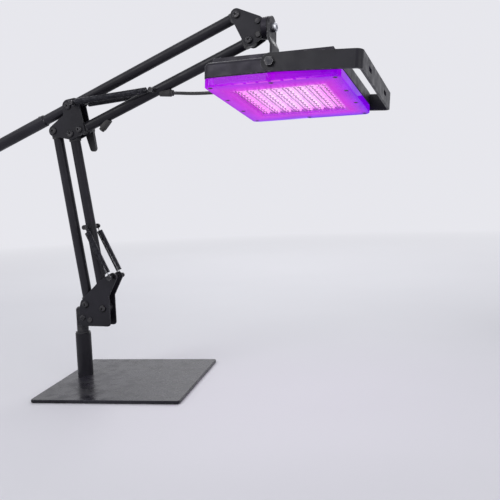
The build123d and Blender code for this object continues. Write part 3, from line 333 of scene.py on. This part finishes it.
def lamp_frame(finish):
    """Object coordinates in millimetres of the lamp lying flat on its cover."""
    inverse = lamp_matrix.inverted()
    mapping = finish.add("ShaderNodeMapping")
    mapping.inputs["Location"].default_value = inverse.to_translation() / MM
    mapping.inputs["Rotation"].default_value = inverse.to_euler()
    mapping.inputs["Scale"].default_value = (1 / MM,) * 3
    finish.join(finish.place, mapping.inputs["Vector"])
    split = finish.add("ShaderNodeSeparateXYZ")
    finish.join(mapping.outputs["Vector"], split.inputs["Vector"])
    return split.outputs["X"], split.outputs["Y"], split.outputs["Z"]


def plain(finish, operation, first, second=0.0):
    """An unclamped sum on outputs and numbers."""
    node = finish.add("ShaderNodeMath", operation=operation)
    for socket, value in zip(node.inputs, (first, second)):
        if isinstance(value, float):
            socket.default_value = value
        else:
            finish.join(value, socket)
    return node.outputs["Value"]


def from_middle(finish, value, pitch):
    """How far a place is from the middle of its own strip or row, in millimetres."""
    wrapped = plain(finish, "MODULO", plain(finish, "ADD", value, pitch * 20), pitch)
    return plain(finish, "ABSOLUTE", plain(finish, "SUBTRACT", wrapped, pitch / 2))


def lit_colour(finish, across, lengthwise):
    """Nearly white in the middle, and pink towards the outer strips and the far ends."""
    sideways = finish.ramp(plain(finish, "ABSOLUTE", across), 0.0, 1.0, 22.0, 50.0)
    endways = finish.ramp(plain(finish, "ABSOLUTE", lengthwise), 0.0, 0.8, 34.0, 56.0)
    return finish.mix(finish.math("MAXIMUM", sideways, endways), (1.0, 0.66, 1.0), (1.0, 0.16, 0.94))


def outside_lit(finish, across, lengthwise):
    """Millimetres from the nearest emitter, below 0 among them."""
    sideways = plain(finish, "SUBTRACT", plain(finish, "ABSOLUTE", across), LIT_X)
    endways = plain(finish, "SUBTRACT", plain(finish, "ABSOLUTE", lengthwise), LIT_Y)
    return plain(finish, "MAXIMUM", sideways, endways)


print("patterns ready for", COLUMNS * ROWS, "emitters")

# %% [markdown]
# ## The lamp's finishes
# The housing is cast and black anodised: a deep, slightly violet black with a sand-fine skin. The
# cover is clear moulded plastic, and the light of the emitters that it takes up is painted on it as a glow.
# Straight in front of them it stays clear, but round them it glows magenta with painted light, and turns
# violet towards its rim. A broken pink painted highlight runs along its lower edge at each end.

# %% Housing and cover
housing = Finish("housing_alloy", (0.012, 0.010, 0.017), 0.42, 0.3)
housing_tone = housing.mix(housing.ramp(housing.noise(40.0, 5.0), 0.0, 1.0),
                           (0.009, 0.0075, 0.013), (0.019, 0.016, 0.027))
housing_wear = housing.math("MULTIPLY", housing.worn_edges(0.0005),
                            housing.ramp(housing.noise(280.0, 5.0), 0.0, 1.0, 0.5, 0.64))
housing.feed(housing.mix(housing_wear, housing_tone, (0.34, 0.33, 0.38)), "Base Color")
housing.feed(housing.ramp(housing.noise(90.0, 4.0), 0.34, 0.52), "Roughness")
housing.bump(housing.noise(1700.0, 4.0), 0.00007, 0.7)
housing.set("Specular IOR Level", 0.34)
housing.done()

# How much painted glow the cover shows round the emitters, and how clear it stays over them.
COVER_PAINTED_GLOW, COVER_CLEAR = 0.6, 0.82
cover = Finish("clear_cover", (1.0, 0.84, 1.0), 0.03)
cover.set("Transmission Weight", 1.0)
cover.set("IOR", 1.30)
cover.feed(cover.ramp(cover.noise(900.0, 3.0), 0.015, 0.05), "Roughness")
cover.bump(cover.noise(140.0, 2.0), 0.00003, 0.2)
cover.done()
across, lengthwise, height = lamp_frame(cover)
outside = outside_lit(cover, across, lengthwise)
# The painted glow shifts from magenta to violet towards the rim, and more so towards one corner.
towards_rim = cover.math("MULTIPLY", cover.ramp(outside, 0.0, 1.0, 3.0, 24.0),
                         cover.ramp(plain(cover, "ADD", across, lengthwise), 0.45, 1.0, -70.0, 60.0))
# A painted highlight: a broken pink line along the cover's lower edge at each end, in dashes in line with
# the columns, fading towards the sides.
highlight_edge_band = cover.math("MULTIPLY", cover.ramp(plain(cover, "ABSOLUTE", lengthwise), 0.0, 1.0, 79.6, 80.4),
                     cover.ramp(height, 1.0, 0.0, 0.5, 1.2))
painted_highlight_dash = cover.math("MULTIPLY", cover.ramp(from_middle(cover, across, COLUMN_PITCH), 1.0, 0.0, 4.6, 5.6),
                  cover.ramp(plain(cover, "ABSOLUTE", across), 0.8, 0.0, 30.0, 52.0))
painted_highlight_dash = cover.math("MULTIPLY", highlight_edge_band, painted_highlight_dash)
# Painted light: the clear cover glows by emission in place of the emitters' light that it takes up and
# reflects.
glow = cover.add("ShaderNodeEmission")
cover.join(cover.mix(painted_highlight_dash, cover.mix(towards_rim, MAGENTA, VIOLET), (1.0, 0.20, 1.0)),
           glow.inputs["Color"])
cover.join(cover.ramp(cover.noise(30.0, 3.0), 0.88, 1.04), glow.inputs["Strength"])
through = cover.add("ShaderNodeBsdfTransparent")
through.inputs["Color"].default_value = (1.0, 0.92, 1.0, 1.0)
layers = ((cover.ramp(outside, 0.0, COVER_PAINTED_GLOW, -3.0, 1.5), cover.shader.outputs["BSDF"],
           glow.outputs["Emission"]),
          (cover.ramp(outside, COVER_CLEAR, 0.0, -3.0, 1.5), None, through.outputs["BSDF"]))
surface = None
for factor, under, over in layers:
    layer = cover.add("ShaderNodeMixShader")
    cover.join(factor, layer.inputs["Fac"])
    cover.join(under or surface, layer.inputs[1])
    cover.join(over, layer.inputs[2])
    surface = layer.outputs["Shader"]
cover.join(surface, cover.tree.nodes["Material Output"].inputs["Surface"])
print("housing and cover mixed, cover glow", COVER_PAINTED_GLOW)

# %% [markdown]
# ## Board, emitters and lenses
# The strips between the columns of emitters stay dark on the board. Under each column the board glows with
# painted light from the emitters, and its white is tinted pink with that light. A band of painted shade runs
# along the middle of each chip, and the lens over it shows a dark oval of painted shade, drawn out along the
# strip.

# %% Board and emitters
# A white board, whose colour is tinted pink with painted light from the emitters.
board = Finish("board_white", (0.40, 0.22, 0.42), 0.42)
across, lengthwise, _ = lamp_frame(board)
joint = board.ramp(from_middle(board, across, COLUMN_PITCH), 1.0, 0.0, 5.7, 6.2)
# Painted light: the board emits the emitters' colour along each strip, as their light falling on it.
painted_board_glow = board.math("MULTIPLY", joint, board.ramp(outside_lit(board, across, lengthwise), 1.0, 0.0, -5.0, 0.5))
painted_board_glow = board.math("MULTIPLY", painted_board_glow, board.ramp(board.noise(520.0, 3.0), 0.5, 1.0, 0.40, 0.55))
board.feed(board.mix(painted_board_glow, (0.70, 0.0, 0.9), lit_colour(board, across, lengthwise)),
           "Emission Color")
board.feed(board.ramp(painted_board_glow, 0.06, 1.0, 0.0, 1.0), "Emission Strength")
board.feed(board.mix(joint, DARK_JOINT, (0.40, 0.22, 0.42)), "Base Color")
board.bump(board.noise(1400.0, 2.0), 0.00003, 0.4)
board.done()

chip = Finish("emitter", (0.7, 0.5, 0.8), 0.3)
across, lengthwise, _ = lamp_frame(chip)
# A band of painted shade along the middle of each chip.
clear = chip.ramp(from_middle(chip, across, COLUMN_PITCH), 0.0, 1.0, 1.1, 1.4)
chip.feed(chip.mix(clear, PAINTED_SHADE_SPOT, lit_colour(chip, across, lengthwise)), "Emission Color")
chip.feed(chip.math("MULTIPLY", chip.ramp(clear, 0.06, 1.0, 0.0, 1.0),
                    chip.ramp(chip.noise(60.0, 2.0), 0.8, 1.0)), "Emission Strength")
chip.feed(chip.mix(clear, DARK_JOINT, CLEAR_RESIN), "Base Color")
chip.done()

lens = Finish("emitter_lens", (0.6, 0.45, 0.65), 0.12)
across, lengthwise, _ = lamp_frame(lens)
# A dark oval of painted shade in the middle of each lens, drawn out along the strip.
gap_x = from_middle(lens, across, COLUMN_PITCH)
gap_y = plain(lens, "MULTIPLY", from_middle(lens, lengthwise, ROW_PITCH), 0.6)
reach = plain(lens, "POWER", plain(lens, "ADD", plain(lens, "MULTIPLY", gap_x, gap_x),
                                   plain(lens, "MULTIPLY", gap_y, gap_y)), 0.5)
clear = lens.ramp(reach, 0.0, 1.0, 1.15, 1.4)
lens.feed(lens.mix(clear, PAINTED_SHADE_SPOT, lit_colour(lens, across, lengthwise)), "Emission Color")
lens.feed(lens.ramp(clear, 0.10, 1.2, 0.0, 1.0), "Emission Strength")
lens.feed(lens.mix(clear, DARK_JOINT, CLEAR_RESIN), "Base Color")
lens.set("Specular IOR Level", 0.2)
lens.done()
print("lamp finishes:", len(finishes), "finishes in all")

# %% [markdown]
# ## Handing the finishes to the frame
# Each CAD node carries a material named after its slot. Swapping that material in the object's slots
# leaves the mesh alone, which is the rule for a piece whose shape is already right.

# %% Assign finishes to the CAD nodes
slot_of = {entry["node"]: entry["material_slot"] for entry in frame["record"]["subparts"]}
# The cover's screws take the plate tinted with painted violet lamplight.
OWN_FINISH = {"base_plate": "plate_paint", "cover_screws": "screw_painted_violet_light"}
for node, thing in frame["nodes"].items():
    for material_slot in thing.material_slots:
        material_slot.link = "DATA"
        material_slot.material = finishes[OWN_FINISH.get(node, slot_of[node])]
print("nodes dressed:", len(slot_of))

# %% [markdown]
# ## Making a piece from a bmesh
# New pieces are drawn in millimetres in their own simple frame, and then placed with one matrix. The
# object itself stays at the origin, so that its pattern and its place are in the mesh.

# %% Piece helper


def piece_from(name, shape, place, finish, smooth=True):
    bmesh.ops.transform(shape, matrix=place @ Matrix.Scale(MM, 4), verts=shape.verts)
    bmesh.ops.recalc_face_normals(shape, faces=shape.faces)
    mesh = bpy.data.meshes.new(name)
    shape.to_mesh(mesh)
    shape.free()
    mesh.materials.append(finishes[finish])
    for polygon in mesh.polygons:
        polygon.use_smooth = smooth
    piece = bpy.data.objects.new(name, mesh)
    bpy.context.scene.collection.objects.link(piece)
    print(name, len(mesh.polygons), "faces")
    return piece


# %% [markdown]
# ## Coil springs
# A balanced arm lives by its extension springs: a close-wound body and a loop at each end that hangs
# on a grooved stud. A spin with a step along its own axis is exactly a coil, so a small ring of wire
# is spun round and along at once. Each loop is a ring spun most of the way round the stud, with a
# straight leg that runs into the first coil.

# %% Springs
SPRING_RADIUS, SPRING_WIRE, SPRING_HOOK = 3.35, 0.55, 7.0
SPRING_OFFSET = 14.6
COIL_STEPS, COIL_PITCH = 12, 1.28
LOOP_RADIUS, LOOP_STEPS, LOOP_TURN = 2.7, 18, 330


def wire_ring(shape, centre, normal, sides=6):
    """A circle of wire section, ready to be spun or extruded."""
    turn = Vector((0, 0, 1)).rotation_difference(Vector(normal)).to_matrix().to_4x4()
    return bmesh.ops.create_circle(shape, segments=sides, radius=SPRING_WIRE,
                                   matrix=Matrix.Translation(centre) @ turn)["verts"]


def ring_geometry(verts):
    edges = {edge for vert in verts for edge in vert.link_edges}
    return list(verts) + list(edges)


def spring_body(shape, span):
    length = span - 2 * SPRING_HOOK
    turns = round(length / COIL_PITCH)
    verts = wire_ring(shape, (SPRING_HOOK, 0, SPRING_RADIUS), (0, 1, 0))
    bmesh.ops.spin(shape, geom=ring_geometry(verts), cent=(0, 0, 0), axis=(1, 0, 0),
                   dvec=(length / (turns * COIL_STEPS), 0, 0), angle=math.tau * turns,
                   steps=turns * COIL_STEPS, use_merge=False, use_duplicate=False)
    return turns


def spring_loop(shape, centre, way):
    """The loop round a stud at one end, and its leg into the coil; way points from stud to coil."""
    verts = wire_ring(shape, (centre + way * LOOP_RADIUS, 0, 0), (0, 0, 1))
    bmesh.ops.spin(shape, geom=ring_geometry(verts), cent=(centre, 0, 0), axis=(0, 1, 0), dvec=(0, 0, 0),
                   angle=math.radians(LOOP_TURN), steps=LOOP_STEPS, use_merge=False, use_duplicate=False)
    verts = wire_ring(shape, (centre + way * (LOOP_RADIUS - 0.2), 0, 0), (1, 0, 0))
    geometry = ring_geometry(verts)
    for step in ((2.6, 0, 0), (1.1, 0, 0.35), (0.6, 0, 1.2), (0.1, 0, 1.8)):
        edges = [item for item in geometry if isinstance(item, bmesh.types.BMEdge)]
        geometry = bmesh.ops.extrude_edge_only(shape, edges=edges)["geom"]
        moved = [item for item in geometry if isinstance(item, bmesh.types.BMVert)]
        bmesh.ops.translate(shape, verts=moved, vec=(way * step[0], step[1], step[2]))


def wind_spring(name, node, start, end, side):
    """Winds the spring between two studs in the arm's plane."""
    direction = Vector((end[0] - start[0], 0, end[1] - start[1]))
    shape = bmesh.new()
    turns = spring_body(shape, direction.length)
    spring_loop(shape, 0.0, 1)
    spring_loop(shape, direction.length, -1)
    rise = math.atan2(direction.z, direction.x)
    place = (arm_matrix @ Matrix.Translation(Vector((start[0], side * SPRING_OFFSET, start[1])) * MM)
             @ Matrix.Rotation(-rise, 4, "Y"))
    spring = piece_from(name, shape, place, "spring_steel")
    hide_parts(node)
    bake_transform(spring)
    print(name, "turns:", turns, "span mm:", round(direction.length, 1))


def along(start, length, rise):
    return start[0] + length * math.cos(math.radians(rise)), start[1] + length * math.sin(math.radians(rise))


LOWER_LEAN, UPPER_RISE = 98.0, 20.5
LOWER_PIN_AT, UPPER_PIN_AT = 106.0, 114.0
FOOT_LEFT = (11.5, 98.0)
FOOT_RIGHT = (FOOT_LEFT[0] + 24.8, FOOT_LEFT[1] - 5.0)
ELBOW_LOW = (ELBOW_TOP[0] + 14.3, ELBOW_TOP[1] - 29.9)
LOWER_STUD = (FOOT_LEFT[0] + 41.8, FOOT_LEFT[1] + 35.6)
LOWER_PIN = along(FOOT_RIGHT, LOWER_PIN_AT, LOWER_LEAN)
UPPER_STUD = (ELBOW_TOP[0] + 9.6, ELBOW_TOP[1] + 3.0)
UPPER_PIN = along(ELBOW_LOW, UPPER_PIN_AT, UPPER_RISE)
for word, side in (("near", -1), ("far", 1)):
    wind_spring("coil_lower_" + word, "lower_spring_" + word, LOWER_STUD, LOWER_PIN, side)
    wind_spring("coil_upper_" + word, "upper_spring_" + word, UPPER_STUD, UPPER_PIN, side)

# %% [markdown]
# ## The lead
# The lead leaves a rubber nose under the low tube, swings over to the lamp's centre line and goes
# straight into the gland on the lamp's left wall. A lead is one smooth NURBS line through a few
# control points. It is made in two lengths that meet end to end, one along the arm and one to the lamp.
# Their shared end lies half way along a run, so the two lines have the same direction there.

# %% Lead
LEAD_DIAMETER = 0.004
MEETING = (0.18410, -0.04145, 0.35260)
ARM_ROUTE = [(0.13961, -0.02462, 0.35751), (0.15137, -0.02669, 0.35636), (0.17121, -0.03679, 0.35350),
             MEETING]
LAMP_ROUTE = [MEETING, (0.19698, -0.04611, 0.35171), (0.21865, -0.04993, 0.35171)]


def lead_line(name, route, radius=0.0):
    """A NURBS spline through the route's control points, with its tube where a radius is given."""
    data = bpy.data.curves.new(name, "CURVE")
    data.dimensions = "3D"
    data.resolution_u = 24
    spline = data.splines.new("NURBS")
    spline.points.add(len(route) - 1)
    for point, place in zip(spline.points, route):
        point.co = (*place, 1.0)
    spline.order_u = 3
    spline.use_endpoint_u = True
    data.bevel_depth = radius
    data.bevel_resolution = 5
    data.use_fill_caps = radius > 0
    return bpy.data.objects.new(name, data)


def run_lead(name, route, node):
    line = lead_line(name + "_line", route)
    path = [tuple(v.co) for v in bpy.data.meshes.new_from_object(line).vertices]
    length = sum((Vector(b) - Vector(a)).length for a, b in zip(path, path[1:]))
    tube = bpy.data.meshes.new_from_object(lead_line(name + "_tube", route, LEAD_DIAMETER / 2))
    tube.name = name
    tube.materials.clear()
    tube.materials.append(finishes["lead_jacket"])
    for polygon in tube.polygons:
        polygon.use_smooth = True
    lead = bpy.data.objects.new(name, tube)
    bpy.context.scene.collection.objects.link(lead)
    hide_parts(node)
    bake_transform(lead)
    print(name, "length mm:", round(length / MM, 1))
    return length


lead_length = run_lead("lead_to_head", ARM_ROUTE, "lead_arm")
lead_length += run_lead("lead_to_lamp", LAMP_ROUTE, "lead_lamp")
print("whole lead mm:", round(lead_length / MM, 1))

# %% [markdown]
# ## Emitter lenses
# Each emitter is a small square chip under a clear dome, with a dark spot of painted shade in the middle.
# There are ninety-six, so each dome has only a few dozen faces. One flattened half sphere is the pattern,
# and copies of it are set out on the board's grid before the pattern itself is deleted.

# %% Lenses
DOME_RADIUS, DOME_FLATNESS = 2.4, 0.36


def lens_grid(name, make_one, finish):
    """Copies a small shape to every emitter, hanging below the board."""
    shape = bmesh.new()
    make_one(shape)
    first = list(shape.verts) + list(shape.edges) + list(shape.faces)
    for column in range(COLUMNS):
        for row in range(ROWS):
            x = (column - (COLUMNS - 1) / 2) * COLUMN_PITCH
            y = (row - (ROWS - 1) / 2) * ROW_PITCH
            copy = bmesh.ops.duplicate(shape, geom=first)["geom"]
            bmesh.ops.translate(shape, vec=(x, y, BOARD_Z - CHIP_HEIGHT),
                                verts=[item for item in copy if isinstance(item, bmesh.types.BMVert)])
    pattern = [item for item in first if isinstance(item, bmesh.types.BMVert)]
    bmesh.ops.delete(shape, geom=pattern, context="VERTS")
    piece = piece_from(name, shape, lamp_matrix, finish)
    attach(piece, "lamp")


def dome(shape):
    bmesh.ops.create_uvsphere(shape, u_segments=8, v_segments=6, radius=DOME_RADIUS)
    bmesh.ops.bisect_plane(shape, geom=shape.verts[:] + shape.edges[:] + shape.faces[:], dist=0.0001,
                           plane_co=(0, 0, 0.1), plane_no=(0, 0, 1), clear_outer=True)
    bmesh.ops.scale(shape, vec=(1, 1, DOME_FLATNESS), verts=shape.verts)


lens_grid("emitter_lenses", dome, "emitter_lens")

# %% [markdown]
# ## Floor
# A wide pale floor catches the shadow, and far from the object it fades into the backdrop's colour,
# so that no horizon shows. The fade is only for rays from the camera, glass and polished metal.

# %% Floor
BACKDROP = (0.80, 0.80, 0.845)
FLOOR_RADIUS, FLOOR_GAP = 9000.0, 0.0002
FADE_START, FADE_END = 0.7, 2.6
floor_finish = Finish("floor", (0.74, 0.74, 0.77), 0.62)
floor_finish.feed(floor_finish.mix(floor_finish.ramp(floor_finish.noise(1.2, 4.0), 0.0, 1.0),
                                   (0.70, 0.70, 0.735), (0.74, 0.74, 0.775)), "Base Color")
floor_finish.bump(floor_finish.noise(600.0, 3.0), 0.0001, 0.2)
floor_finish.done()
distance = floor_finish.add("ShaderNodeVectorMath", operation="LENGTH")
floor_finish.join(floor_finish.place, distance.inputs[0])
far = floor_finish.ramp(distance.outputs["Value"], 0.0, 1.0, FADE_START, FADE_END)
rays = floor_finish.add("ShaderNodeLightPath")
looked_at = floor_finish.math("MAXIMUM", floor_finish.math("MAXIMUM", rays.outputs["Is Camera Ray"],
                                                           rays.outputs["Is Glossy Ray"]),
                              rays.outputs["Is Transmission Ray"])
haze = floor_finish.add("ShaderNodeEmission")
haze.inputs["Color"].default_value = (*BACKDROP, 1.0)
fade = floor_finish.add("ShaderNodeMixShader")
floor_finish.join(floor_finish.math("MULTIPLY", far, looked_at), fade.inputs["Fac"])
floor_finish.join(floor_finish.shader.outputs["BSDF"], fade.inputs[1])
floor_finish.join(haze.outputs["Emission"], fade.inputs[2])
floor_finish.join(fade.outputs["Shader"], floor_finish.tree.nodes["Material Output"].inputs["Surface"])
floor_shape = bmesh.new()
bmesh.ops.create_circle(floor_shape, cap_ends=True, cap_tris=False, segments=96, radius=FLOOR_RADIUS)
floor = piece_from("floor", floor_shape, Matrix.Translation((0, 0, -FLOOR_GAP)), "floor", smooth=False)

# %% [markdown]
# ## World and lamps
# The world is a soft grey light, and where the camera, glass or polished metal looks straight at it,
# it shows as the same backdrop. Three large area lamps model the black pieces with long soft
# highlights: a key from the left, a fill from the right, and one behind that draws the tubes' outlines.

# %% World and lamps
world = bpy.data.worlds.new("studio")
bpy.context.scene.world = world
world.use_nodes = True
sky = world.node_tree
background = sky.nodes["Background"]
background.inputs["Color"].default_value = (0.86, 0.87, 0.92, 1.0)
background.inputs["Strength"].default_value = 0.55
backdrop = sky.nodes.new("ShaderNodeBackground")
backdrop.inputs["Color"].default_value = (*BACKDROP, 1.0)
backdrop.inputs["Strength"].default_value = 1.0
ray = sky.nodes.new("ShaderNodeLightPath")
seen = sky.nodes.new("ShaderNodeMath")
seen.operation = "MAXIMUM"
sky.links.new(ray.outputs["Is Camera Ray"], seen.inputs[0])
seen_or_mirrored = sky.nodes.new("ShaderNodeMath")
seen_or_mirrored.operation = "MAXIMUM"
sky.links.new(ray.outputs["Is Glossy Ray"], seen.inputs[1])
sky.links.new(seen.outputs["Value"], seen_or_mirrored.inputs[0])
sky.links.new(ray.outputs["Is Transmission Ray"], seen_or_mirrored.inputs[1])
choose = sky.nodes.new("ShaderNodeMixShader")
sky.links.new(seen_or_mirrored.outputs["Value"], choose.inputs["Fac"])
sky.links.new(background.outputs["Background"], choose.inputs[1])
sky.links.new(backdrop.outputs["Background"], choose.inputs[2])
sky.links.new(choose.outputs["Shader"], sky.nodes["World Output"].inputs["Surface"])


LAMPS_AIM = (0.16, -0.05, 0.22)


def soft_lamp(name, place, power, size):
    data = bpy.data.lights.new(name, "AREA")
    data.energy = power
    data.size = size
    thing = bpy.data.objects.new(name, data)
    thing.location = place
    aim = Vector(LAMPS_AIM) - Vector(place)
    thing.rotation_euler = aim.to_track_quat("-Z", "Y").to_euler()
    bpy.context.scene.collection.objects.link(thing)
    print(name, power, "W")


soft_lamp("key", (-1.1, -1.5, 1.5), 17.0, 1.1)
soft_lamp("fill", (1.7, -1.1, 0.9), 6.0, 1.4)
soft_lamp("back", (0.1, 1.7, 1.5), 15.0, 1.3)
bpy.context.scene.view_settings.view_transform = "Standard"
